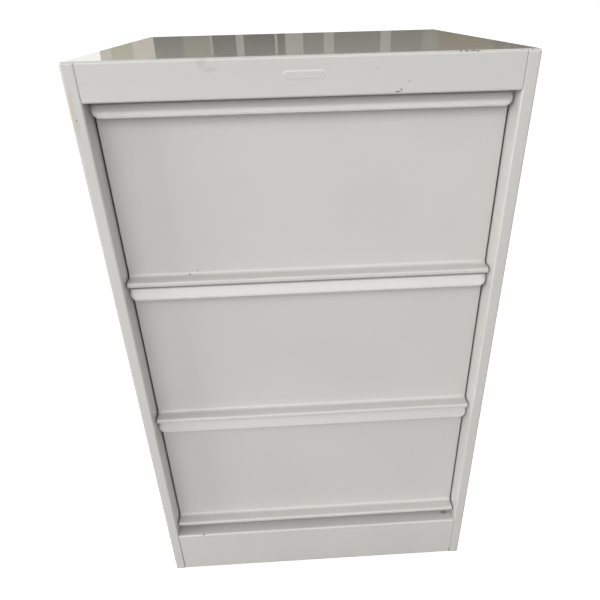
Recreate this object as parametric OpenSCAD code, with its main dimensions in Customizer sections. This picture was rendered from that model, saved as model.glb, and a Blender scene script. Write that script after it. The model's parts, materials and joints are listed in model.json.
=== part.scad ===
// Three-drawer sheet-steel file cabinet.
// Millimetres, +Z up, origin at the middle of the footprint on the floor, drawers open towards -Y.
// Depths are measured back from the plane of the front edges.

/* [Cabinet] */
// Overall width
cabinet_w = 435; // [420:1:480]
// Overall height, feet included
cabinet_h = 700; // [694:1:720]
// Overall depth
cabinet_d = 410; // [408:1:440]
// Thickness of the folded sheet steel
sheet = 1.0; // [0.8:0.1:1.2]
// Width of the front edge of each side
side_face = 13.5; // [13.5:0.1:14.5]
// Depth of the return folded behind each front edge
side_return = 31; // [28:0.5:42]
// Height of the rail folded down from the top sheet
rail_h = 35; // [30:1:35]
// Height of the cabinet floor above the ground
plinth_h = 75; // [70:1:76]
// Height of the glides under the steel
foot_h = 3; // [2:0.5:3]

/* [Drawers] */
// Height from one drawer front to the next
drawer_pitch = 194; // [192:0.5:194]
// Height of the lowest drawer front's foot above the ground
lowest_front_z = 85; // [84:0.5:86]
// Height of a drawer front
front_h = 190; // [186:0.5:190]
// Gap between a drawer front and the side returns
side_gap = 1.8; // [1.5:0.1:2]
// Depth of the drawer panels behind the front edges
panel_recess = 26.5; // [24:0.5:28]
// Depth of the ledge's nose under each panel
nose_recess = 10.3; // [9:0.1:11]
// Height of the ledge's nose
nose_h = 6; // [6:0.1:7]
// Depth of the pull lip's free edge
lip_recess = 13.3; // [12.5:0.1:14.5]
// Height of the pull lip
lip_h = 13.4; // [12:0.1:14]
// Radius of the pull lip's lower corners
lip_corner_r = 7; // [4:0.5:9]
// Height of the drawer tray's floor above the front's foot
tray_floor = 12; // [10:0.5:16]
// Height of the tray's rim above the front's foot
tray_rim = 160; // [140:1:162]
// How far a drawer pulls out
travel = 260; // [200:1:260]

/* [Slides] */
// Length of the slide's cabinet member
slide_l = 350; // [348:1:350]
// Overall width of a closed slide
slide_w = 12.7; // [12.7:0.1:12.8]
// Height of the cabinet member
slide_h = 36; // [36:0.1:36.4]
// Height of the slide's middle above the front's foot
slide_z = 60; // [50:1:80]
// Length of the ball cage
cage_l = 82; // [78:1:84]
// Balls in each of a cage's two rows
balls_per_row = 6; // [4:1:7]
// Radius of a ball
ball_r = 1.95; // [1.8:0.05:1.95]

/* [Hidden] */

$fn = 32;
paint = "gainsboro";
zinc = "lightslategray";
nylon = "dimgray";
half_w = cabinet_w / 2;
front_y = -cabinet_d / 2;
back_y = cabinet_d / 2;
// Half the width between the two returns: the drawers and the slides work inside it
opening = half_w - side_face;
front_half = opening - side_gap;
tray_half = opening - slide_w;
// Radii of the folds, on the middle of the sheet
tight_fold = 1.2;
fold = 1.5;
wide_fold = 2;
shoulder_fold = 3;
panel_fold = 3.5;
fold_steps = 5;
// Gap left where two painted parts stand side by side
seam = 0.2;
flange = 12;
tray_flange = 7;
hem = 8;
corner_cut = 2.5;
// Depths at which the slides start, and their screws and rivets sit
slide_d = panel_recess + 9.5;
screw_depths = [75, 357];
rivet_depths = [60, 340];
tray_d = panel_recess + sheet;
tray_l = slide_l;
stop_l = 4.5;
upright_w = 30;
upright_foot = 12;
bracket = 46;
bracket_t = 2;
// Sections of the slide, measured from the upright towards the drawer
slide_t = 1.2;
channel_w = 10.5;
inner_h = 24.8;
inner_reach = 9.1;
cage_t = 0.8;
cage_near = 1.8;
cage_far = 9;
// The cage rolls half as far as its drawer, so it rests half the travel behind its foremost place
cage_d = slide_d + 2 + travel / 2;
ball_z = (slide_h / 2 - slide_t + inner_h / 2) / 2;
ball_x = 6.6;

function depth(d) = front_y + d;
function foot_of(n) = lowest_front_z + (3 - n) * drawer_pitch;

// ---- Outlines of folded sheet ----
function unit(v) = v / norm(v);
function left_of(v) = [-v.y, v.x];
function turned(v, a) = [v.x * cos(a) - v.y * sin(a), v.x * sin(a) + v.y * cos(a)];
function turning(u, v) = atan2(u.x * v.y - u.y * v.x, u * v);
// Points of one fold on the middle line, each with the direction to the sheet's left face
function fold_points(before, at, after, r) =
    let (u = unit(at - before), v = unit(after - at), a = turning(u, v), s = sign(a),
         centre = at - u * r * tan(abs(a) / 2) + left_of(u) * r * s)
    [for (k = [0:fold_steps]) let (side = turned(left_of(u), a * k / fold_steps))
        [centre - side * r * s, side]];
// Outline of a sheet of thickness t folded along a middle line, with one radius for each inner point
function folded(line, radii, t = sheet) =
    let (last = len(line) - 1,
         marks = concat(
             [[line[0], left_of(unit(line[1] - line[0]))]],
             [for (i = [1:last - 1]) each fold_points(line[i - 1], line[i], line[i + 1], radii[i - 1])],
             [[line[last], left_of(unit(line[last] - line[last - 1]))]]))
    concat([for (m = marks) m[0] + m[1] * t / 2],
           [for (i = [len(marks) - 1:-1:0]) marks[i][0] - marks[i][1] * t / 2]);

// ---- Extrusions along each axis ----
// A (y, z) outline
module along_x(x0, x1) translate([x0, 0, 0]) rotate([90, 0, 90]) linear_extrude(x1 - x0) children();
// An (x, z) outline
module along_y(y0, y1) translate([0, y1, 0]) rotate([90, 0, 0]) linear_extrude(y1 - y0) children();
// An (x, y) outline
module along_z(z0, z1) translate([0, 0, z0]) linear_extrude(z1 - z0) children();
module block(low, high) translate(low) cube(high - low);
// The same shape on the right
module on_side(side) if (side == "left") children(); else mirror([1, 0, 0]) children();

// ---- Carcass ----
// One sheet folded down over both sides, with its edges folded round at the front and the rear
module body_shell() color(paint) {
    half_t = sheet / 2;
    bend_d = wide_fold + half_t;
    shoulder = shoulder_fold + half_t;
    rail_half = opening - seam;
    difference() {
        along_y(front_y, back_y - bend_d) polygon(folded([
            [-half_w + half_t, foot_h], [-half_w + half_t, cabinet_h - half_t],
            [half_w - half_t, cabinet_h - half_t], [half_w - half_t, foot_h]],
            [shoulder_fold, shoulder_fold]));
        block([-opening - seam, front_y - 1, cabinet_h - 2 * sheet],
              [opening + seam, front_y + bend_d, cabinet_h + 1]);
        block([-half_w - 1, front_y - 1, 0], [half_w + 1, front_y + bend_d, cabinet_h - shoulder]);
    }
    along_x(-rail_half, rail_half) polygon(folded([
        [front_y + side_return, cabinet_h - half_t], [front_y + half_t, cabinet_h - half_t],
        [front_y + half_t, cabinet_h - rail_h + half_t],
        [depth(flange), cabinet_h - rail_h + half_t],
        [depth(flange), cabinet_h - rail_h + flange]], [wide_fold, fold, fold]));
    along_x(-half_w + flange, half_w - flange) polygon(folded([
        [back_y - flange, cabinet_h - half_t], [back_y - half_t, cabinet_h - half_t],
        [back_y - half_t, cabinet_h - flange]], [wide_fold]));
    for (side = ["left", "right"]) on_side(side) {
        along_z(foot_h, cabinet_h - shoulder) polygon(folded([
            [-half_w + flange, back_y - half_t], [-half_w + half_t, back_y - half_t],
            [-half_w + half_t, front_y + half_t], [-opening - half_t, front_y + half_t],
            [-opening - half_t, depth(side_return)]], [wide_fold, wide_fold, fold]));
        block([-half_w + shoulder, front_y, cabinet_h - shoulder - 1],
              [-opening - seam, front_y + sheet, cabinet_h - half_t]);
        translate([-half_w + shoulder, front_y + sheet, cabinet_h - shoulder])
            rotate([90, 0, 0]) cylinder(r = shoulder, h = sheet);
        block([-half_w + half_t, depth(wide_fold + sheet), foot_h],
              [-half_w + flange, back_y - 2 * sheet - seam, foot_h + sheet]);
    }
}

// Back sheet, set in behind the shell's rear flanges, with flanges of its own at top and bottom
module back_panel() color(paint) {
    reach = half_w - 3 * sheet;
    edge = half_w - flange - seam;
    top_z = cabinet_h - sheet - wide_fold - seam;
    block([-reach, back_y - 2 * sheet, foot_h], [reach, back_y - sheet, top_z]);
    for (z = [foot_h, top_z - sheet])
        block([-edge, back_y - sheet - flange, z], [edge, back_y - 1.5 * sheet, z + sheet]);
}

// Cabinet floor and plinth, one sheet folded down at the front and at the rear
module base_pan() color(paint) {
    half_t = sheet / 2;
    rear = back_y - 2 * sheet - seam - half_t;
    reach = half_w - sheet - seam;
    along_x(-opening + seam, opening - seam) polygon(folded([
        [rear, plinth_h - flange], [rear, plinth_h - half_t],
        [front_y + half_t, plinth_h - half_t], [front_y + half_t, foot_h + half_t],
        [depth(flange + 4), foot_h + half_t]], [fold, wide_fold, fold]));
    block([-reach, depth(side_return + seam), plinth_h - sheet], [reach, rear - fold, plinth_h]);
}

// Hat-section upright that carries the slides
module upright(side, middle) color(paint) on_side(side) difference() {
    half_t = sheet / 2;
    wall = -half_w + sheet + half_t;
    face = -opening - half_t;
    y0 = depth(middle) - upright_w / 2;
    y1 = depth(middle) + upright_w / 2;
    along_z(plinth_h, cabinet_h - sheet - shoulder_fold - seam) polygon(folded([
        [wall, y0 - upright_foot], [wall, y0], [face, y0], [face, y1], [wall, y1],
        [wall, y1 + upright_foot]], [fold, fold, fold, fold]));
    for (n = [1:3]) translate([-opening, depth(middle), foot_of(n) + slide_z])
        rotate([0, 90, 0]) cylinder(r = 2.2, h = 4, center = true);
}

// ---- Feet ----
// The four places of the feet, as [x, y, bracket's low corner x, bracket's low corner y]
function feet() = [for (x = [-1, 1], y = [-1, 1]) let (
    outer_x = y < 0 ? opening - seam : half_w - sheet - seam,
    // The front ones stand clear of the fold at the plinth's foot
    outer_y = cabinet_d / 2 - seam - (y < 0 ? sheet / 2 + fold : 2 * sheet))
    [x * (outer_x - bracket / 2), y * (outer_y - bracket / 2)]];
module foot_brackets() color(paint) for (f = feet()) translate([f.x, f.y, foot_h + sheet]) difference() {
    translate([-bracket / 2, -bracket / 2, 0]) cube([bracket, bracket, bracket_t]);
    translate([0, 0, -1]) cylinder(r = 4.1, h = bracket_t + 2);
}
module foot_pads() color(nylon) for (f = feet()) translate([f.x, f.y, 0]) {
    cylinder(r1 = 11.4, r2 = 12, h = 0.8);
    translate([0, 0, 0.8]) cylinder(r = 12, h = foot_h - 0.8);
}
module foot_studs() color(zinc) for (f = feet()) translate([f.x, f.y, foot_h]) cylinder(r = 4, h = 22);
module foot_nuts() color(zinc) for (f = feet())
    translate([f.x, f.y, foot_h + sheet + bracket_t]) difference() {
        cylinder(r = 7.5, h = 6.5, $fn = 6);
        translate([0, 0, -1]) cylinder(r = 4.1, h = 9);
    }

// ---- Drawers ----
// Front of drawer n: nose, ledge, panel, flange and pull lip, folded from one sheet
module drawer_front(n) color(paint) translate([0, 0, foot_of(n)]) {
    half_t = sheet / 2;
    panel_y = depth(panel_recess) + half_t;
    nose_y = depth(nose_recess) + half_t;
    lip_y = depth(lip_recess) + half_t;
    lip_z = front_h - lip_h + 1;
    difference() {
        along_x(-front_half, front_half) {
            polygon(folded([
                [nose_y + 7, half_t], [nose_y, half_t], [nose_y, nose_h - half_t],
                [panel_y, nose_h - half_t], [panel_y, front_h - half_t],
                [lip_y + 6.7, front_h - half_t], [lip_y, lip_z]],
                [tight_fold, wide_fold, panel_fold, fold, wide_fold + half_t]));
            translate([lip_y, lip_z]) circle(r = 1);
        }
        for (side = ["left", "right"]) on_side(side) difference() {
            block([-front_half - 1, depth(lip_recess - 3), lip_z - 2],
                  [-front_half + lip_corner_r, depth(panel_recess - 1), lip_z - 1 + lip_corner_r]);
            translate([-front_half + lip_corner_r, 0, lip_z - 1 + lip_corner_r])
                rotate([90, 0, 0]) cylinder(r = lip_corner_r, h = cabinet_d);
        }
    }
    for (side = ["left", "right"]) on_side(side)
        block([-front_half, depth(panel_recess) + half_t, nose_h + panel_fold],
              [-front_half + sheet, depth(panel_recess + 7), front_h - 3]);
}

// Tray of drawer n: floor, two walls with rolled-out rims, and the flanges welded to the front
module drawer_tray(n) color(paint) translate([0, 0, foot_of(n)]) difference() {
    half_t = sheet / 2;
    wall = tray_half - half_t;
    union() {
        along_y(depth(tray_d), depth(tray_d + tray_l)) polygon(folded([
            [-wall - tray_flange, tray_rim - half_t], [-wall, tray_rim - half_t],
            [-wall, tray_floor + half_t], [wall, tray_floor + half_t],
            [wall, tray_rim - half_t], [wall + tray_flange, tray_rim - half_t]],
            [fold, wide_fold, wide_fold, fold]));
        for (side = ["left", "right"]) on_side(side)
            block([-wall, depth(tray_d), tray_floor + 3],
                  [-wall + flange, depth(tray_d) + sheet, tray_rim - 4]);
    }
    for (side = ["left", "right"]) on_side(side) at_rivets() cylinder(r = 2, h = 8, center = true);
}
// Back of drawer n, set between the tray's walls, with its top edge folded over forwards
module drawer_back(n) color(paint) translate([0, 0, foot_of(n)]) {
    half_t = sheet / 2;
    inside = tray_half - sheet - 0.05;
    low = tray_floor + sheet;
    rear = depth(tray_d + tray_l) - half_t;
    intersection() {
        along_x(-inside, inside)
            polygon(folded([[rear, low], [rear, tray_rim - half_t], [rear - hem, tray_rim - half_t]], [fold]));
        along_y(rear - 2 * hem, rear + hem) polygon([
            [-inside, tray_rim], [-inside, low + corner_cut], [-inside + corner_cut, low],
            [inside - corner_cut, low], [inside, low + corner_cut], [inside, tray_rim]]);
    }
    for (side = ["left", "right"]) on_side(side)
        block([-inside, rear - hem, low + corner_cut], [-inside + sheet, rear, tray_rim - 4]);
}
// The left side's rivet places, on the drawer member's outer face, with Z along the rivet
module at_rivets() for (d = rivet_depths)
    translate([-tray_half, depth(d), slide_z]) rotate([0, 90, 0]) children();
module drawer_rivets(n) color(zinc) translate([0, 0, foot_of(n)])
    for (side = ["left", "right"]) on_side(side) at_rivets() {
        translate([0, 0, -slide_t - 1.3]) cylinder(r1 = 2.4, r2 = 3.2, h = 1.3);
        translate([0, 0, -slide_t - 0.1]) cylinder(r = 1.9, h = slide_t + sheet + 0.2);
        translate([0, 0, sheet]) cylinder(r1 = 2.8, r2 = 2.2, h = 1);
    }

// ---- Ball slides ----
// The left slide's frame at drawer n: X from the upright towards the drawer, Z from the slide's middle
module at_slide(side, n) on_side(side) translate([-opening, 0, foot_of(n) + slide_z]) children();

module cabinet_member(side, n) color(zinc) at_slide(side, n) difference() {
    near = slide_t / 2;
    far = channel_w - slide_t / 2;
    high = slide_h / 2 - slide_t / 2;
    along_y(depth(slide_d), depth(slide_d + slide_l)) polygon(folded([
        [far, high - 2.8], [far, high], [near, high], [near, -high], [far, -high], [far, -high + 2.8]],
        [tight_fold, tight_fold, tight_fold, tight_fold], slide_t));
    for (d = screw_depths) translate([0, depth(d), 0]) rotate([0, 90, 0]) {
        translate([0, 0, -0.01]) cylinder(r1 = 2.3, r2 = 3.5, h = slide_t + 0.02);
        translate([0, 0, -1]) cylinder(r = 2.3, h = 2);
    }
}
module drawer_member(side, n) color(zinc) at_slide(side, n) difference() {
    near = slide_w - slide_t / 2;
    far = slide_w - inner_reach + slide_t / 2;
    high = inner_h / 2 - slide_t / 2;
    along_y(depth(slide_d), depth(slide_d + slide_l - 5)) polygon(folded([
        [far, high - 2.8], [far, high], [near, high], [near, -high], [far, -high], [far, -high + 2.8]],
        [tight_fold, tight_fold, tight_fold, tight_fold], slide_t));
    translate([opening, 0, -slide_z]) at_rivets() cylinder(r = 2, h = 8, center = true);
}
// Places of the balls along the slide
function ball_depths() = [for (k = [0:balls_per_row - 1]) cage_d + (k + 0.5) * cage_l / balls_per_row];
module ball_cage(side, n) color("black") at_slide(side, n) difference() {
    near = cage_near + cage_t / 2;
    along_y(depth(cage_d), depth(cage_d + cage_l)) polygon(folded([
        [cage_far, ball_z], [near, ball_z], [near, -ball_z], [cage_far, -ball_z]],
        [tight_fold, tight_fold], cage_t));
    for (d = ball_depths(), s = [-1, 1]) translate([ball_x, depth(d), s * ball_z])
        cylinder(r = ball_r + 0.2, h = 3, center = true);
}
module slide_balls(side, n) color("white") at_slide(side, n)
    for (d = ball_depths(), s = [-1, 1]) translate([ball_x, depth(d), s * ball_z]) sphere(r = ball_r);

// Countersunk screws that hold the cabinet members to the uprights
module slide_screws() color(zinc) for (side = ["left", "right"], n = [1:3]) at_slide(side, n)
    for (d = screw_depths) translate([0, depth(d), 0]) rotate([0, 90, 0]) {
        cylinder(r1 = 2.1, r2 = 3.3, h = slide_t);
        translate([0, 0, -8]) cylinder(r = 2, h = 8.01);
    }
// Rubber blocks in the rear of the cabinet members, against which the drawers close
module slide_stops() color("dimgray") for (side = ["left", "right"], n = [1:3]) at_slide(side, n)
    block([slide_t, depth(slide_d + slide_l - stop_l), -9],
          [cage_far, depth(slide_d + slide_l), 9]);

body_shell();
back_panel();
base_pan();
upright("left", screw_depths[0]);  // left_front_upright
upright("left", screw_depths[1]);  // left_rear_upright
upright("right", screw_depths[0]);  // right_front_upright
upright("right", screw_depths[1]);  // right_rear_upright
foot_brackets();
foot_pads();
foot_studs();
foot_nuts();
slide_screws();
slide_stops();
for (n = [1:3]) {
    drawer_front(n);
    drawer_tray(n);
    drawer_back(n);
    drawer_rivets(n);
    for (side = ["left", "right"]) {
        cabinet_member(side, n);
        drawer_member(side, n);
        ball_cage(side, n);
        slide_balls(side, n);
    }
}
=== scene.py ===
import json
import math

import bmesh
import bpy
from mathutils import Euler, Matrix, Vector


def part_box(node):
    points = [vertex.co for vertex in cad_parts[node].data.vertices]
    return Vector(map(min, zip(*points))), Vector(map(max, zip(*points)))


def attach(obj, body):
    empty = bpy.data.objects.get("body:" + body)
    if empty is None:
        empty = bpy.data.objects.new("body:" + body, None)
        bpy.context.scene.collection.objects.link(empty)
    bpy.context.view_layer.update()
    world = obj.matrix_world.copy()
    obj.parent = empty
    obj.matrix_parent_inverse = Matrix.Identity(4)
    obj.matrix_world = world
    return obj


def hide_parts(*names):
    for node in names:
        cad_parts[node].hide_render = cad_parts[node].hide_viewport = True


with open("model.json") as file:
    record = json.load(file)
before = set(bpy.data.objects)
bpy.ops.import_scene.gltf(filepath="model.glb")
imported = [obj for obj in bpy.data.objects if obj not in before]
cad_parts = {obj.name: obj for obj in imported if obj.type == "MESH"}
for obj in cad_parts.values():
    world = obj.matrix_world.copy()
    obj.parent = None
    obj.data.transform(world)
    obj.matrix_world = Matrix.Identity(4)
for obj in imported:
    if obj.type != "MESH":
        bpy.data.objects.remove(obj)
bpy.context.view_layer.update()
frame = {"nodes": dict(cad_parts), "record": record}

MM = 0.001
SIDES = (-1, 1)
DRAWERS = (1, 2, 3)

# ---- Sizes of the folded steel, in metres ----
SHEET = 1.0 * MM
HALF_T = SHEET / 2
SHOULDER_R = 2.0 * MM  # the fold between the top and each side
EDGE_R = 2.0 * MM  # the folds along the front and rear edges
INNER_R = 1.5 * MM
TIGHT_R = 1.2 * MM
SEAM = 0.2 * MM
FLANGE = 12.0 * MM

# The body
SIDE_FACE = 13.5 * MM  # how wide each side's front face is
SIDE_RETURN = 31.0 * MM  # how deep the return folded behind that face is in CAD
SEEN_RETURN = 27.4 * MM  # the return as drawn ends just behind the panels, so the gap beside them is dark
RAIL_H = 35.0 * MM
RAIL_NOTCH = 0.3 * MM  # the notch left where the rail's fold ends
NOTCH_ROWS = 3  # how many rows of the fold the notch runs over
FOOT_FRONT = 3.0 * MM  # the gaps before and behind the flange along the foot of each side
FOOT_REAR = 2.2 * MM
PLINTH_FLANGE = 16.0 * MM
PLINTH_GAP = 0.7 * MM  # how much wider the seam at the plinth's left end stands open
MARK_HALF = (20.0 * MM, 4.2 * MM)  # half the length and height of the pill pressed out of the rail
MARK_PROUD = 0.25 * MM
MARK_BLEND = 1.6 * MM  # how far in from its outline the pill has risen
MARK_LIFT = 1.5 * MM  # how far the pill lies above the middle of the rail
MARK_STEPS, MARK_END_STEPS = 6, 12

# The drawers
PANEL_R = 5.0 * MM  # the fold at the foot of the panel
PANEL_INSET = 2.0 * MM  # how far inside the front's ends the flat of the panel stops
PANEL_SIDE_R = 0.3 * MM  # the tight folds down both sides of the panel
PANEL_WIDER = 0.45 * MM  # how far those folds stand out past the nose and lip
END_STRIP = 1.0 * MM  # the least width of the faces at both ends of the nose and lip
NOSE_H = 6.0 * MM
NOSE_FOOT = 7.0 * MM
NOSE_CORNER = 2.0 * MM
LIP_R = 2.5 * MM
LIP_PROUD = 13.2 * MM  # how far the lip's free edge stands out from the panel
LIP_SLOPE = 4.8 * MM
LIP_H = 13.4 * MM
LIP_CORNER = 7.0 * MM
LIP_RIM = 1.0 * MM  # the radius of the rolled rim
RIM_SIDES = 10
TRAY_RIM = 160.0 * MM
TRAY_FLANGE = 7.0 * MM
FLANGE_FOOT = 3.0 * MM  # where the tray's front flanges end, above its underside and below its rim
FLANGE_HEAD = 4.0 * MM
HEM = 8.0 * MM
CORNER_CUT = 2.5 * MM

FOLD_STEPS = 8
EDGE_BEVEL = 0.22 * MM
BEVEL_ANGLE = 40
WELD_REACH = 0.005 * MM
NODE_WELD_REACH = 0.002 * MM
SAME = 0.01 * MM  # heights and depths nearer than this count as equal
NO_LENGTH = 0.0001 * MM  # points of an outline nearer than this are one point


# ---- Outlines and meshes ----
def folded(line, radii):
    """The points of a 2-D line whose inner corners are folds with the given radii."""
    line = [Vector(p) for p in line]
    points = [line[0]]
    for before, at, after, radius in zip(line, line[1:], line[2:], radii):
        u, v = (at - before).normalized(), (after - at).normalized()
        angle = math.atan2(u.x * v.y - u.y * v.x, u.dot(v))
        hand = math.copysign(1, angle)
        left = Vector((-u.y, u.x))
        centre = at - u * radius * math.tan(abs(angle) / 2) + left * radius * hand
        for k in range(FOLD_STEPS + 1):
            turn = angle * k / FOLD_STEPS
            side = Vector((left.x * math.cos(turn) - left.y * math.sin(turn),
                           left.x * math.sin(turn) + left.y * math.cos(turn)))
            points.append(centre - side * radius * hand)
    points.append(line[-1])
    return [p for i, p in enumerate(points) if i == 0 or (p - points[i - 1]).length > NO_LENGTH]


def across(profile, xs):
    """A grid that runs along X: one row of points for each (y, z) of the profile."""
    return [[Vector((x, p[0], p[1])) for x in xs] for p in profile]


def mirrored(values):
    """The values on the left, then their mirror images on the right."""
    return list(values) + [-v for v in reversed(values)]


def mesh_object(name, grids, body, material):
    """A mesh of quads from grids of points, welded where they meet, riding on a CAD body."""
    built = bmesh.new()
    for rows in grids:
        verts = [[built.verts.new(p) for p in row] for row in rows]
        for upper, lower in zip(verts, verts[1:]):
            for i in range(len(upper) - 1):
                built.faces.new((upper[i], upper[i + 1], lower[i + 1], lower[i]))
    bmesh.ops.remove_doubles(built, verts=built.verts, dist=WELD_REACH)
    bmesh.ops.recalc_face_normals(built, faces=built.faces)
    for face in built.faces:
        face.smooth = True
    mesh = bpy.data.meshes.new(name)
    built.to_mesh(mesh)
    built.free()
    piece = bpy.data.objects.new(name, mesh)
    bpy.context.scene.collection.objects.link(piece)
    mesh.materials.append(material)
    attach(piece, body)
    return piece


def soften_edges(piece, width):
    """Rounds the sharp edges a little, and keeps the flats flat."""
    bevel = piece.modifiers.new("edge_rounding", "BEVEL")
    bevel.width = width
    bevel.segments = 2
    bevel.limit_method = "ANGLE"
    bevel.angle_limit = math.radians(BEVEL_ANGLE)
    normals = piece.modifiers.new("flat_faces", "WEIGHTED_NORMAL")
    normals.keep_sharp = False


def sheet_metal(name, grids, body, material, stands_for):
    """A folded sheet, from grids of points that lie in the middle of its thickness."""
    piece = mesh_object(name, grids, body, material)
    solid = piece.modifiers.new("thickness", "SOLIDIFY")
    solid.thickness = SHEET
    solid.offset = 0
    solid.use_even_offset = True
    solid.use_quality_normals = True
    soften_edges(piece, EDGE_BEVEL)
    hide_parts(*stands_for)


# ---- Materials ----
CREAM_DARK, CREAM_LIGHT = (0.585, 0.573, 0.545, 1), (0.605, 0.593, 0.566, 1)
PAINT_SPECK, BARE_STEEL = (0.45, 0.42, 0.37, 1), (0.13, 0.115, 0.095, 1)
GLOSS_ROUGHNESS = 0.045
PEEL_DEPTH = 0.012 * MM  # how deep the enamel's fine unevenness is
PAINT_DEPTH = 0.12 * MM  # how thick the enamel is round a chip
ZINC_DARK, ZINC_LIGHT = (0.60, 0.61, 0.62, 1), (0.74, 0.74, 0.73, 1)
ROLLING_DEPTH = 0.01 * MM
BARE_BALL, GREASED_BALL = (0.78, 0.78, 0.78, 1), (0.62, 0.58, 0.48, 1)
CAGE_BLACKS = (0.012, 0.012, 0.013, 1), (0.025, 0.025, 0.026, 1)
FOOT_BLACKS = (0.03, 0.03, 0.032, 1), (0.05, 0.05, 0.05, 1)
RUBBER_BLACKS = (0.018, 0.018, 0.018, 1), (0.032, 0.031, 0.03, 1)


class Shader:
    """A material's node tree, with short calls for the nodes used here."""

    def __init__(self, name):
        self.material = bpy.data.materials.new(name)
        self.material.use_nodes = True
        self.tree = self.material.node_tree
        self.surface = self.tree.nodes["Principled BSDF"]
        self.place = self.node("ShaderNodeTexCoord").outputs["Object"]

    def node(self, kind, **settings):
        made = self.tree.nodes.new(kind)
        for key, value in settings.items():
            setattr(made, key, value)
        return made

    def feed(self, socket, value):
        """Links an output to a socket, or sets the socket's value."""
        if isinstance(value, bpy.types.NodeSocket):
            self.tree.links.new(value, socket)
        else:
            socket.default_value = value

    def math(self, operation, a, b=0.0, c=0.0):
        made = self.node("ShaderNodeMath", operation=operation)
        for socket, value in zip(made.inputs, (a, b, c)):
            self.feed(socket, value)
        return made.outputs[0]

    def vector(self, operation, a, b):
        made = self.node("ShaderNodeVectorMath", operation=operation)
        self.feed(made.inputs[0], a)
        self.feed(made.inputs[1], b)
        return made.outputs[0]

    def noise(self, scale, detail=3.0, stretch=None):
        """Noise between about 0.3 and 0.7, with its features 1 / scale metres apart."""
        made = self.node("ShaderNodeTexNoise")
        place = self.place if stretch is None else self.vector("MULTIPLY", self.place, stretch)
        self.feed(made.inputs["Vector"], place)
        made.inputs["Scale"].default_value = scale
        made.inputs["Detail"].default_value = detail
        return made.outputs[0]

    def between(self, value, low, high, to_low=0.0, to_high=1.0):
        """Maps low..high to to_low..to_high, and holds it there outside."""
        made = self.node("ShaderNodeMapRange")
        self.feed(made.inputs["Value"], value)
        for name, number in zip(("From Min", "From Max", "To Min", "To Max"), (low, high, to_low, to_high)):
            made.inputs[name].default_value = number
        return made.outputs[0]

    def mix(self, share, a, b):
        """Colour a where share is 0, and b where it is 1."""
        made = self.node("ShaderNodeMix", data_type="RGBA")
        self.feed(made.inputs["Factor"], share)
        self.feed(made.inputs["A"], a)
        self.feed(made.inputs["B"], b)
        return made.outputs["Result"]

    def bump(self, height, depth, below=None):
        """A normal that follows a height from 0 to 1, depth metres deep, over another normal."""
        made = self.node("ShaderNodeBump")
        made.inputs["Strength"].default_value = 1.0
        made.inputs["Distance"].default_value = depth
        self.feed(made.inputs["Height"], height)
        if below is not None:
            self.feed(made.inputs["Normal"], below)
        return made.outputs[0]

    def from_centre(self, centre, reach):
        """0 at a centre given in mm, and 1 where an ellipsoid with the given half sizes ends."""
        away = self.vector("SUBTRACT", self.place, Vector(centre) * MM)
        away = self.vector("DIVIDE", away, Vector(reach) * MM)
        length = self.node("ShaderNodeVectorMath", operation="LENGTH")
        self.feed(length.inputs[0], away)
        return length.outputs["Value"]

    def set(self, **values):
        """Sets or links the surface's sockets, named with _ for each space."""
        for key, value in values.items():
            self.feed(self.surface.inputs[key.replace("_", " ")], value)


def cream_paint(name, chips, marks=()):
    """Glossy warm-white enamel, with its wear.

    Chips are (centre, half sizes) and marks (centre, half sizes, tint, share), in mm.
    """
    s = Shader(name)
    cloud = s.noise(7.0, 4.0)
    grain = s.noise(900.0, 2.0)
    colour = s.mix(s.between(cloud, 0.35, 0.65), CREAM_DARK, CREAM_LIGHT)
    colour = s.mix(s.between(grain, 0.62, 0.75, 0.0, 0.06), colour, PAINT_SPECK)
    smear = s.math("MULTIPLY_ADD", s.noise(110.0, 3.0), 2.4, -1.2)
    for centre, reach, tint, share in marks:
        edge = s.math("ADD", s.from_centre(centre, reach), smear)
        colour = s.mix(s.between(edge, 1.1, 0.5, 0.0, share), colour, tint)
    ragged = s.math("MULTIPLY_ADD", s.noise(700.0, 3.0), 3.0, -1.5)
    bare = 0.0
    for centre, reach in chips:
        edge = s.math("ADD", s.from_centre(centre, reach), ragged)
        bare = s.math("MAXIMUM", s.between(edge, 1.05, 0.95), bare)
    colour = s.mix(bare, colour, BARE_STEEL)
    paint_left = s.math("SUBTRACT", 1.0, bare)
    peel = s.bump(s.noise(330.0, 2.0), PEEL_DEPTH)
    uneven = s.bump(paint_left, PAINT_DEPTH, peel)
    s.set(Base_Color=colour, Roughness=s.between(cloud, 0.3, 0.7, 0.42, 0.5), Normal=uneven)
    s.set(Coat_Weight=paint_left, Coat_Roughness=GLOSS_ROUGHNESS, Coat_IOR=1.5)
    return s.material


def zinc_plate():
    """Bright zinc on rolled steel, with rolling marks along the slides and a faint spangle."""
    s = Shader("zinc_plate")
    rolled = s.noise(900.0, 3.0, stretch=(1, 0.03, 1))
    spangle = s.noise(240.0, 2.0)
    colour = s.mix(s.between(spangle, 0.35, 0.65), ZINC_DARK, ZINC_LIGHT)
    s.set(Base_Color=colour, Metallic=1.0, Roughness=s.between(rolled, 0.3, 0.7, 0.22, 0.42))
    s.set(Normal=s.bump(rolled, ROLLING_DEPTH))
    return s.material


def ball_steel():
    """Polished balls under a thin film of grease."""
    s = Shader("ball_steel")
    film = s.noise(700.0, 2.0)
    colour = s.mix(s.between(film, 0.4, 0.65), BARE_BALL, GREASED_BALL)
    s.set(Base_Color=colour, Metallic=1.0, Roughness=s.between(film, 0.35, 0.65, 0.06, 0.22))
    return s.material


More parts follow.
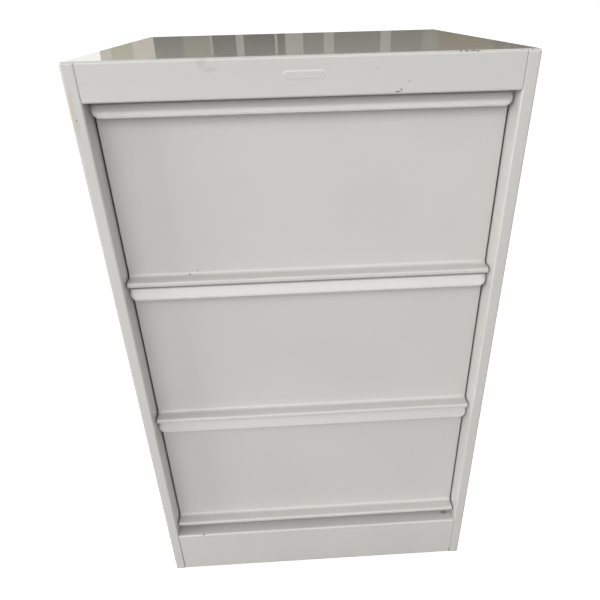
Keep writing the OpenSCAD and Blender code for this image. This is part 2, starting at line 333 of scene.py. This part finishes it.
def moulded(name, dark, light, roughness, grain_depth):
    """Moulded plastic or rubber with a fine grain."""
    s = Shader(name)
    grain = s.noise(1400.0, 3.0)
    colour = s.mix(s.between(s.noise(90.0, 3.0), 0.35, 0.65), dark, light)
    s.set(Base_Color=colour, Roughness=s.between(grain, 0.3, 0.7, roughness - 0.08, roughness + 0.08))
    s.set(Normal=s.bump(grain, grain_depth))
    return s.material


# ---- The body: sides, top and rail in one sheet ----
def body_shell(material):
    """Sides, top and front rail, with the flanges at the front, rear and foot folded in."""
    low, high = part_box("body_shell")
    side, top = high.x - HALF_T, high.z - HALF_T
    front, rear = low.y + HALF_T, high.y - HALF_T
    front_bend, rear_bend = front + EDGE_R, rear - EDGE_R
    opening = high.x - SIDE_FACE
    rail_half = opening - SEAM
    return_x = opening + HALF_T
    fold_x = return_x + INNER_R

    wall = folded([(-side, low.z), (-side, top), (0, top)], [SHOULDER_R])[:-1]
    centre = Vector((-side + SHOULDER_R, top - SHOULDER_R))
    inward = [(centre - p).normalized() if i else Vector((1, 0)) for i, p in enumerate(wall)]
    # Where the rear flanges, the rear and front corners, the rail and its notch end along the top
    marks = [-fold_x - SEAM, -fold_x, -opening - SEAM, -rail_half, -rail_half + RAIL_NOTCH]
    left = wall + [Vector((x, top)) for x in marks]
    down = Vector((0, -1))

    wrap = left + [Vector((-p.x, p.y)) for p in reversed(left)]
    grids = [[[Vector((p.x, y, p.y)) for p in wrap] for y in (front_bend, rear_bend)]]
    corner = list(zip(wall, inward)) + [(Vector((x, top)), down) for x in marks[:3]]
    quarter = [math.pi / 2 * k / FOLD_STEPS for k in range(FOLD_STEPS + 1)]
    for s in SIDES:
        # The folds along the front and rear edges, carried round the shoulder
        for bend, way, ends in ((front_bend, -1, corner), (rear_bend, 1, corner[:-1])):
            rows = []
            for a in quarter:
                y = bend + way * EDGE_R * math.sin(a)
                section = [p + n * EDGE_R * (1 - math.cos(a)) for p, n in ends]
                rows.append([Vector((-s * q.x, y, q.y)) for q in section])
            grids.append(rows)
        # The front face of the side, and the return folded behind it
        plan = folded([(-side, front), (-return_x, front), (-return_x, low.y + SEEN_RETURN)], [INNER_R])[1:]
        rows = []
        for p, n in zip(wall, inward):
            edge = p + n * EDGE_R
            rows.append([Vector((-s * edge.x, front, edge.y))]
                        + [Vector((-s * q.x, q.y, edge.y)) for q in plan])
        grids.append(rows)
        # The flange behind, and the one along the foot
        grids.append([[Vector((s * x, rear, z)) for x in (side - EDGE_R, fold_x + SEAM)]
                      for z in (low.z, top - EDGE_R)])
        grids.append([[Vector((-s * x, y, low.z + HALF_T)) for x in (-side, -side + FLANGE)]
                      for y in (low.y + FOOT_FRONT, high.y - FOOT_REAR)])

    rail = folded([(front_bend, top), (front, top), (front, high.z - RAIL_H + HALF_T),
                   (low.y + FLANGE, high.z - RAIL_H + HALF_T), (low.y + FLANGE, high.z - RAIL_H + FLANGE)],
                  [EDGE_R, INNER_R, INNER_R])
    halves = [rail_half - RAIL_NOTCH * max(0.0, 1 - k / NOTCH_ROWS) for k in range(len(rail))]
    grids.append([[Vector((x, p.x, p.y)) for x in (-half, half)] for p, half in zip(rail, halves)])
    tail = folded([(rear_bend, top), (rear, top), (rear, high.z - FLANGE)], [EDGE_R])
    grids.append(across(tail, mirrored(marks[1:])))
    sheet_metal("body_wrap", grids, "cabinet", material, ["body_shell"])


def pressed_mark(material):
    """A plain pill pressed out of the middle of the rail."""
    low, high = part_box("body_shell")
    half_l, half_h = MARK_HALF
    centre_x, z = half_l - half_h, high.z - RAIL_H / 2 + MARK_LIFT
    rows = []
    for k in range(MARK_STEPS + 1):
        r = half_h - MARK_BLEND * k / MARK_STEPS
        y = low.y - MARK_PROUD * (1 - math.cos(math.pi * k / MARK_STEPS)) / 2
        ring = []
        for s in SIDES:
            for j in range(MARK_END_STEPS + 1):
                a = math.pi * (j / MARK_END_STEPS - 0.5) + (math.pi if s < 0 else 0)
                ring.append(Vector((s * centre_x + r * math.cos(a), y, z + r * math.sin(a))))
        rows.append(ring + [ring[0]])
    rows.append([Vector((max(-centre_x, min(centre_x, p.x)), low.y - MARK_PROUD, z)) for p in rows[-1]])
    mesh_object("rail_pressed_mark", [rows], "cabinet", material)


def base_pan(material):
    """Cabinet floor and plinth in one sheet."""
    low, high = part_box("base_pan")
    front, floor = low.y + HALF_T, high.z - HALF_T
    rear = high.y - HALF_T
    shell_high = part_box("body_shell")[1]
    half = shell_high.x - SIDE_FACE - SEAM
    wide_from, wide_to = low.y + SIDE_RETURN + SEAM, rear - INNER_R
    profile = folded([(rear, floor - FLANGE), (rear, floor), (front, floor), (front, low.z + HALF_T),
                      (low.y + PLINTH_FLANGE, low.z + HALF_T)], [INNER_R, EDGE_R, INNER_R])
    flat = next(i for i, p in enumerate(profile) if abs(p.x - wide_to) < SAME)
    profile.insert(flat + 1, Vector((wide_from, floor)))
    rows = across(profile, [-half, half])
    for row in rows:
        if row[0].z < floor - EDGE_R:
            row[0].x += PLINTH_GAP
    grids = [rows]
    # Behind the returns, the floor widens to meet the sides
    for s in SIDES:
        grids.append([[Vector((s * x, y, floor)) for x in (half, high.x)] for y in (wide_to, wide_from)])
    sheet_metal("plinth_and_floor", grids, "cabinet", material, ["base_pan"])


# ---- Drawers ----
def drawer_front(n, material):
    """Nose, ledge, recessed panel, turned-back edges and pull lip, from one sheet."""
    low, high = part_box(f"drawer_{n}_front")
    tray_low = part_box(f"drawer_{n}_tray")[0]
    half = high.x
    nose_y, panel_y = low.y + HALF_T, tray_low.y - HALF_T
    lip_y = tray_low.y - SHEET - LIP_PROUD + HALF_T
    top, lip_z = high.z - HALF_T, high.z - LIP_H + LIP_RIM
    profile = folded([(nose_y + NOSE_FOOT, low.z + HALF_T), (nose_y, low.z + HALF_T),
                      (nose_y, low.z + NOSE_H - HALF_T), (panel_y, low.z + NOSE_H - HALF_T),
                      (panel_y, top), (lip_y + LIP_SLOPE, top), (lip_y, lip_z)],
                     [TIGHT_R, EDGE_R, PANEL_R, INNER_R, LIP_R])
    panel_x = half - PANEL_INSET
    panel_foot = max(i for i, p in enumerate(profile) if p.y < (low.z + high.z) / 2)

    def row(p, w):
        inner = min(panel_x, w - END_STRIP)
        return [Vector((x, p.x, p.y)) for x in (-w, -inner, inner, w)]

    rows = [row(p, half - corner_inset(p.y - low.z, NOSE_CORNER)) for p in profile[:panel_foot + 1]]
    upper = profile[panel_foot + 1:-1]
    tip, bend_end = profile[-1], upper[-1]
    length = (tip - bend_end).length
    rows_above = [row(p, half) for p in upper]
    # Rows crowd towards the free edge, where the lip's corners are round
    for k in range(FOLD_STEPS + 1):
        left_over = LIP_CORNER * (1 - math.sin(math.pi / 2 * k / FOLD_STEPS))
        inset = corner_inset(left_over, LIP_CORNER)
        rows_above.append(row(tip + (bend_end - tip) * left_over / length, half - inset))
    panel = [rows[-1][1:3], rows_above[0][1:3]]
    edge_x = half + PANEL_WIDER - HALF_T
    turned = folded([(panel_x, panel_y), (edge_x, panel_y), (edge_x, high.y)], [PANEL_SIDE_R])
    edges = [[[Vector((s * q.x, q.y, z)) for q in turned] for z in (profile[panel_foot].y, upper[0].y)]
             for s in SIDES]
    sheet_metal(f"drawer_{n}_face", [rows, rows_above, panel, *edges], f"drawer_{n}", material,
                [f"drawer_{n}_front"])

    inward = Vector((LIP_RIM, 0, 0))
    rim = [(r[0] + inward, r[-1] - inward) for r in rows_above[len(upper) - 1:]]
    path = [pair[0] for pair in rim] + [pair[1] for pair in reversed(rim)]
    tube(f"drawer_{n}_lip_rim", path, LIP_RIM, f"drawer_{n}", material)


def corner_inset(height, radius):
    """How far a round corner lies inside its square one at a height above its foot."""
    drop = max(0.0, radius - height)
    return radius - math.sqrt(radius * radius - drop * drop)


def tube(name, path, radius, body, material):
    """A round bead along a path, closed at both ends."""
    rings = []
    for i, p in enumerate(path):
        ahead = (path[min(i + 1, len(path) - 1)] - path[max(i - 1, 0)]).normalized()
        out = ahead.cross(Vector((0, 1, 0))).normalized()
        back = ahead.cross(out)
        turns = [2 * math.pi * k / RIM_SIDES for k in range(RIM_SIDES + 1)]
        rings.append([p + (out * math.cos(a) + back * math.sin(a)) * radius for a in turns])
    rings = [[path[0]] * (RIM_SIDES + 1)] + rings + [[path[-1]] * (RIM_SIDES + 1)]
    mesh_object(name, [rings], body, material)


def drawer_tray(n, material):
    """Floor and walls of the tray, with the rims turned out and the front flanges turned in."""
    low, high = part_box(f"drawer_{n}_tray")
    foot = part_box(f"drawer_{n}_front")[0].z
    rim, floor = foot + TRAY_RIM - HALF_T, low.z + HALF_T
    wall = high.x - TRAY_FLANGE
    profile = folded([(-high.x, rim), (-wall, rim), (-wall, floor),
                      (wall, floor), (wall, rim), (high.x, rim)],
                     [INNER_R, EDGE_R, EDGE_R, INNER_R])
    grids = [[[Vector((p.x, y, p.y)) for p in profile] for y in (low.y, high.y)]]
    for s in SIDES:
        grids.append([[Vector((s * x, low.y + HALF_T, z)) for x in (wall, wall - FLANGE)]
                      for z in (low.z + FLANGE_FOOT, rim - FLANGE_HEAD)])
    sheet_metal(f"drawer_{n}_box", grids, f"drawer_{n}", material, [f"drawer_{n}_tray"])


def drawer_back(n, material):
    """The tray's rear wall, hemmed along its top."""
    low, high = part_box(f"drawer_{n}_back")
    rear, top = high.y - HALF_T, high.z - HALF_T
    profile = folded([(rear, low.z), (rear, top), (rear - HEM, top)], [INNER_R])
    profile.insert(1, Vector((rear, low.z + CORNER_CUT)))
    rows = across(profile, [-high.x, high.x])
    for point in rows[0]:
        point.x -= math.copysign(CORNER_CUT, point.x)
    grids = [rows]
    for s in SIDES:
        grids.append([[Vector((s * (high.x - HALF_T), y, z)) for y in (rear, rear - HEM)]
                      for z in (low.z + CORNER_CUT, top - FLANGE_HEAD)])
    sheet_metal(f"drawer_{n}_rear_wall", grids, f"drawer_{n}", material, [f"drawer_{n}_back"])


# ---- CAD nodes that stay ----
def finish_node(node, material, edge):
    """Gives a CAD node its material, and rounds its sharp edges if asked."""
    piece = frame["nodes"][node]
    piece.data.materials.clear()
    piece.data.materials.append(material)
    if edge:
        weld = piece.modifiers.new("weld", "WELD")
        weld.merge_threshold = NODE_WELD_REACH
        soften_edges(piece, edge)


# ---- Stage ----
FLOOR_REACH = 40.0
FLOOR_DARK, FLOOR_LIGHT = (0.90, 0.90, 0.90, 1), (0.92, 0.92, 0.915, 1)
FLOOR_GLOW = 0.6
FLOOR_BOUNCE = 0.35


def floor():
    """A pale floor that throws back less light than it shows, as a large dark studio floor would."""
    s = Shader("pale_floor")
    shown = s.surface
    s.set(Base_Color=s.mix(s.noise(3.0), FLOOR_DARK, FLOOR_LIGHT), Roughness=0.9)
    s.set(Specular_IOR_Level=0.0, Emission_Color=(1, 1, 1, 1), Emission_Strength=FLOOR_GLOW)
    dull = s.node("ShaderNodeBsdfDiffuse")
    dull.inputs["Color"].default_value = (FLOOR_BOUNCE, FLOOR_BOUNCE, FLOOR_BOUNCE, 1)
    either = s.node("ShaderNodeMixShader")
    s.feed(either.inputs["Fac"], s.node("ShaderNodeLightPath").outputs["Is Camera Ray"])
    s.feed(either.inputs[1], dull.outputs[0])
    s.feed(either.inputs[2], shown.outputs[0])
    s.feed(s.tree.nodes["Material Output"].inputs["Surface"], either.outputs[0])
    mesh = bpy.data.meshes.new("floor")
    corners = [(-FLOOR_REACH, -FLOOR_REACH, 0), (FLOOR_REACH, -FLOOR_REACH, 0),
               (FLOOR_REACH, FLOOR_REACH, 0), (-FLOOR_REACH, FLOOR_REACH, 0)]
    mesh.from_pydata(corners, [], [(0, 1, 2, 3)])
    plane = bpy.data.objects.new("floor", mesh)
    mesh.materials.append(s.material)
    bpy.context.scene.collection.objects.link(plane)


def area_light(name, place, size, power):
    """A rectangular lamp that faces the middle of the front."""
    data = bpy.data.lights.new(name, "AREA")
    data.shape = "RECTANGLE"
    data.size, data.size_y = size
    data.energy = power
    lamp = bpy.data.objects.new(name, data)
    lamp.location = place
    lamp.rotation_euler = (Vector(LAMP_TARGET) - Vector(place)).to_track_quat("-Z", "Y").to_euler()
    bpy.context.scene.collection.objects.link(lamp)


def ramp(tree, bearing, reach, stops, interpolation):
    """A colour for each bearing up to reach degrees either way, from stops (bearing, colour)."""
    place = tree.nodes.new("ShaderNodeMapRange")
    place.inputs["From Min"].default_value = -math.radians(reach)
    place.inputs["From Max"].default_value = math.radians(reach)
    tree.links.new(bearing, place.inputs["Value"])
    made = tree.nodes.new("ShaderNodeValToRGB")
    made.color_ramp.interpolation = interpolation
    elements = made.color_ramp.elements
    for i, (degrees, colour) in enumerate(stops):
        at = (degrees / reach + 1) / 2
        stop = elements[i] if i < 2 else elements.new(at)
        stop.position = at
        stop.color = (*colour, 1)
    tree.links.new(place.outputs[0], made.inputs[0])
    return made.outputs[0]


def studio():
    """A studio that is brighter behind and on the right, with a dim ceiling and a low wall far behind."""
    world = bpy.data.worlds.new("studio")
    bpy.context.scene.world = world
    world.use_nodes = True
    tree = world.node_tree
    tree.nodes.clear()

    def node(kind, **settings):
        made = tree.nodes.new(kind)
        for key, value in settings.items():
            setattr(made, key, value)
        return made

    def blend(share, a, b):
        made = node("ShaderNodeMix", data_type="RGBA")
        tree.links.new(share, made.inputs["Factor"])
        tree.links.new(a, made.inputs["A"])
        if isinstance(b, bpy.types.NodeSocket):
            tree.links.new(b, made.inputs["B"])
        else:
            made.inputs["B"].default_value = (b, b, b, 1)
        return made.outputs["Result"]

    def above(low, high):
        made = node("ShaderNodeMapRange", interpolation_type="SMOOTHSTEP")
        made.inputs["From Min"].default_value = math.sin(math.radians(low))
        made.inputs["From Max"].default_value = math.sin(math.radians(high))
        tree.links.new(split.outputs["Z"], made.inputs["Value"])
        return made.outputs[0]

    split = node("ShaderNodeSeparateXYZ")
    tree.links.new(node("ShaderNodeTexCoord").outputs["Generated"], split.inputs[0])
    turn = node("ShaderNodeMath", operation="ARCTAN2")
    tree.links.new(split.outputs["X"], turn.inputs[0])
    tree.links.new(split.outputs["Y"], turn.inputs[1])
    bearing = turn.outputs[0]
    # The wall takes the place of the room where it is low and nearly straight behind
    aside = node("ShaderNodeMath", operation="ABSOLUTE")
    tree.links.new(bearing, aside.inputs[0])
    beyond = node("ShaderNodeMath", operation="GREATER_THAN")
    tree.links.new(aside.outputs[0], beyond.inputs[0])
    beyond.inputs[1].default_value = math.radians(WALL_REACH)
    off_wall = node("ShaderNodeMath", operation="MAXIMUM")
    tree.links.new(beyond.outputs[0], off_wall.inputs[0])
    tree.links.new(above(WALL_TOP, WALL_TOP + WALL_BLEND), off_wall.inputs[1])
    wall = ramp(tree, bearing, WALL_REACH, WALL, "CONSTANT")
    room = ramp(tree, bearing, ALL_ROUND, [(at, (v, v, v)) for at, v in ROOM], "LINEAR")
    colour = blend(above(*CEILING_FROM), blend(off_wall.outputs[0], wall, room), CEILING)

    lit = node("ShaderNodeBackground")
    tree.links.new(colour, lit.inputs["Color"])
    seen = node("ShaderNodeBackground")
    seen.inputs["Color"].default_value = (1, 1, 1, 1)
    either = node("ShaderNodeMixShader")
    tree.links.new(node("ShaderNodeLightPath").outputs["Is Camera Ray"], either.inputs["Fac"])
    tree.links.new(lit.outputs[0], either.inputs[1])
    tree.links.new(seen.outputs[0], either.inputs[2])
    tree.links.new(either.outputs[0], node("ShaderNodeOutputWorld").inputs["Surface"])


def camera():
    """A phone held close in front, just above the top, and tilted down at the drawers."""
    data = bpy.data.cameras.new("camera")
    data.sensor_width = 36.0
    data.lens = CAMERA_LENS
    data.shift_x, data.shift_y = CAMERA_SHIFT
    data.clip_start, data.clip_end = 0.01, 200.0
    view = bpy.data.objects.new("camera", data)
    view.location = CAMERA_PLACE
    view.rotation_euler = Euler([math.radians(a) for a in CAMERA_TURN])
    bpy.context.scene.collection.objects.link(view)
    bpy.context.scene.camera = view


# ---- Camera, lamps and room ----
CAMERA_LENS = 33.22
CAMERA_SHIFT = (-0.0246, 0.0618)
CAMERA_PLACE = (-0.0209, -0.7578, 0.7409)
CAMERA_TURN = (58.75, 1.24, -3.24)

# A small lamp on the left, and a wide soft one high in front: place, size and power
LAMPS = {"window": ((-3.2, -0.8, 1.2), (1.6, 1.2), 80), "softbox": ((-1.0, -5.4, 3.05), (9.0, 4.4), 250)}
LAMP_TARGET = (0, -0.2, 0.4)

# Bearings are in degrees from straight behind the object, and grow clockwise seen from above.
# The wall far behind, whose panels show in the top: each colour runs on to the next bearing
DIM, GREY, OLIVE = (0.06, 0.06, 0.04), (0.11, 0.11, 0.085), (0.17, 0.17, 0.12)
PALE, SOFT, BEIGE = (0.25, 0.25, 0.21), (0.35, 0.34, 0.24), (0.46, 0.42, 0.35)
STONE, BROWN, WHITE = (0.15, 0.12, 0.07), (0.10, 0.085, 0.045), (1.0, 1.0, 0.96)
WALL_REACH = 30
WALL_TOP = 11  # how high the wall reaches, in degrees
WALL_BLEND = 4
WALL = [(-30, WHITE), (-16, BEIGE), (-15, SOFT), (-13.2, BEIGE), (-11.4, GREY), (-8.7, OLIVE),
        (-6.5, PALE), (-6.2, DIM), (-4.1, PALE), (-3.4, DIM), (-0.6, PALE), (-0.3, DIM), (0.4, PALE),
        (2.0, GREY), (3.9, PALE), (4.7, GREY), (9.1, PALE), (10.0, GREY), (12.7, OLIVE), (14.2, STONE),
        (19, BROWN)]
# How bright the room is all round, away from that wall
ALL_ROUND = 180
ROOM = [(-180, 0.5), (-140, 0.45), (-95, 0.2), (-75, 1.1), (75, 1.1), (95, 0.8), (135, 0.8), (145, 0.5)]
CEILING = 0.06
CEILING_FROM = (50, 65)  # the heights in degrees over which the room passes into the ceiling

# ---- Wear in the paint: centres and half sizes in mm ----
GREY_SCUFF, YELLOWED, DARK_SCUFF = (0.36, 0.355, 0.33, 1), (0.50, 0.46, 0.34, 1), (0.12, 0.11, 0.10, 1)
SHELL_CHIPS = [((142, -204.5, 699.6), (1.2, 1.5, 0.5)), ((147.5, -204.5, 699.5), (1.8, 1.5, 0.45)),
               ((153, -204.5, 699.6), (2.4, 1.5, 0.5)), ((158, -204.8, 699.2), (1.6, 1.2, 0.5)),
               ((67, -205, 688), (0.5, 1, 0.6)), ((96.5, -205, 676), (0.5, 1, 0.45)),
               ((86.5, -205, 667.5), (1.9, 1, 0.5)), ((89.5, -205, 669.2), (0.5, 1, 1.1)),
               ((-212, -205, 651), (0.6, 1, 0.6)), ((208, -204.5, 699.5), (0.7, 1.5, 0.7)),
               ((-2, -86, 700), (0.9, 5, 1)), ((-107, -13, 700), (4, 3, 1)),
               ((-86, -13, 700), (5, 2.5, 1))]
SHELL_MARKS = [((-92, -204.5, 697), (5, 3, 5), GREY_SCUFF, 0.3),
               ((-83, -204.5, 691), (7, 3, 3), GREY_SCUFF, 0.3),
               ((-214, -205, 655), (4, 3, 22), YELLOWED, 0.4)]
PAN_CHIPS = [((-167.5, -204.5, 74.6), (2.2, 1.5, 0.6)), ((-146, -205, 20), (0.6, 1, 0.6)),
             ((203.4, -205, 7), (0.9, 1.5, 5))]
PAN_MARKS = [((192, -190, 75), (6, 2.5, 2), DARK_SCUFF, 0.6)]
DRAWER_CHIPS = [((-126, -179, 484), (0.35, 2, 1.5)), ((-135, -180, 480.5), (1.1, 2, 0.5))]

# ---- The whole picture ----
camera()
floor()
studio()
for name, looks in LAMPS.items():
    area_light(name, *looks)
bpy.context.scene.view_settings.view_transform = "Standard"

shell_paint = cream_paint("shell_paint", SHELL_CHIPS, SHELL_MARKS)
pan_paint = cream_paint("pan_paint", PAN_CHIPS, PAN_MARKS)
drawer_paint = cream_paint("drawer_paint", DRAWER_CHIPS)

body_shell(shell_paint)
pressed_mark(shell_paint)
base_pan(pan_paint)
for number in DRAWERS:
    drawer_front(number, drawer_paint)
    drawer_tray(number, drawer_paint)
    drawer_back(number, drawer_paint)

zinc = zinc_plate()
steel = ball_steel()
cage_nylon = moulded("cage_nylon", *CAGE_BLACKS, roughness=0.42, grain_depth=0.02 * MM)
foot_nylon = moulded("foot_nylon", *FOOT_BLACKS, roughness=0.5, grain_depth=0.03 * MM)
rubber = moulded("buffer_rubber", *RUBBER_BLACKS, roughness=0.8, grain_depth=0.05 * MM)
# For each slot, the material and how wide the rounding of sharp edges is
NODE_LOOKS = {"cream_paint": (shell_paint, 0.2 * MM), "zinc_plate": (zinc, 0.15 * MM),
              "ball_steel": (steel, 0), "cage_nylon": (cage_nylon, 0.12 * MM),
              "foot_nylon": (foot_nylon, 0.3 * MM), "buffer_rubber": (rubber, 0.4 * MM)}
for part in frame["record"]["subparts"]:
    if not frame["nodes"][part["node"]].hide_render:
        finish_node(part["node"], *NODE_LOOKS[part["material_slot"]])
